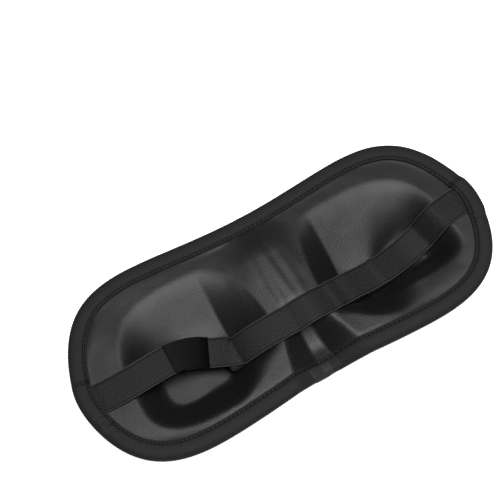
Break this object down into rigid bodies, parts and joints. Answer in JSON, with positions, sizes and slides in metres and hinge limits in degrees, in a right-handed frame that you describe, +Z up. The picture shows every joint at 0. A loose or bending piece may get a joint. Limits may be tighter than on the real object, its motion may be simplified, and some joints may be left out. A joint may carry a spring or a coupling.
{
  "type": "contoured sleep mask",
  "caption": "Padded contoured eye mask with two moulded eye hollows, a bound edge and an elastic head strap closed by a hook tab.",
  "frame": {"origin": "on the surface the mask lies on, under the middle of its outline", "axes": "+X along the mask, +Y towards the forehead edge, +Z up towards the side that meets the face"},
  "size_m": [0.222, 0.0974, 0.0261],
  "materials": {
    "face_fabric": "brushed soft knit, slight sheen",
    "foam": "heat moulded soft foam",
    "front_fabric": "smooth knit bonded to the foam",
    "binding_tape": "ribbed stretch tape",
    "thread": "spun polyester thread",
    "elastic": "woven elastic with light edges",
    "loop_tape": "brushed loop pile",
    "hook_tape": "fine moulded hooks on a smooth backing"
  },
  "bodies": {
    "root": {"face_lining": "face_fabric", "foam_core": "foam", "front_cover": "front_fabric", "edge_binding": "binding_tape", "binding_join": "binding_tape", "face_stitching": "thread", "front_stitching": "thread", "left_strap_end": "elastic", "right_strap_end": "elastic"},
    "left_strap": {"left_strap": "elastic", "tab_stitching": "thread"},
    "hook_tab": {"hook_tab": "hook_tape"},
    "long_strap": {"loop_strap": "loop_tape", "right_strap": "elastic", "lap_stitching": "thread"}
  },
  "joints": [
    {"name": "long_strap_lift", "type": "hinge", "parent": "root", "child": "long_strap", "pos_m": [0.0998, -0.003, 0.0256], "axis": [0, 1, 0], "range_deg": [0, 33]},
    {"name": "left_strap_lift", "type": "hinge", "parent": "root", "child": "left_strap", "pos_m": [-0.0998, -0.0038, 0.0256], "axis": [0, -1, 0], "range_deg": [0, 150]},
    {"name": "hook_tab_peel", "type": "hinge", "parent": "left_strap", "child": "hook_tab", "pos_m": [-0.06415, -0.0034, 0.0248], "axis": [0, -1, 0], "range_deg": [0, 110]}
  ],
  "couplings": [
    {"joint": "left_strap_lift", "follows": "long_strap_lift", "ratio": 4.5}
  ]
}
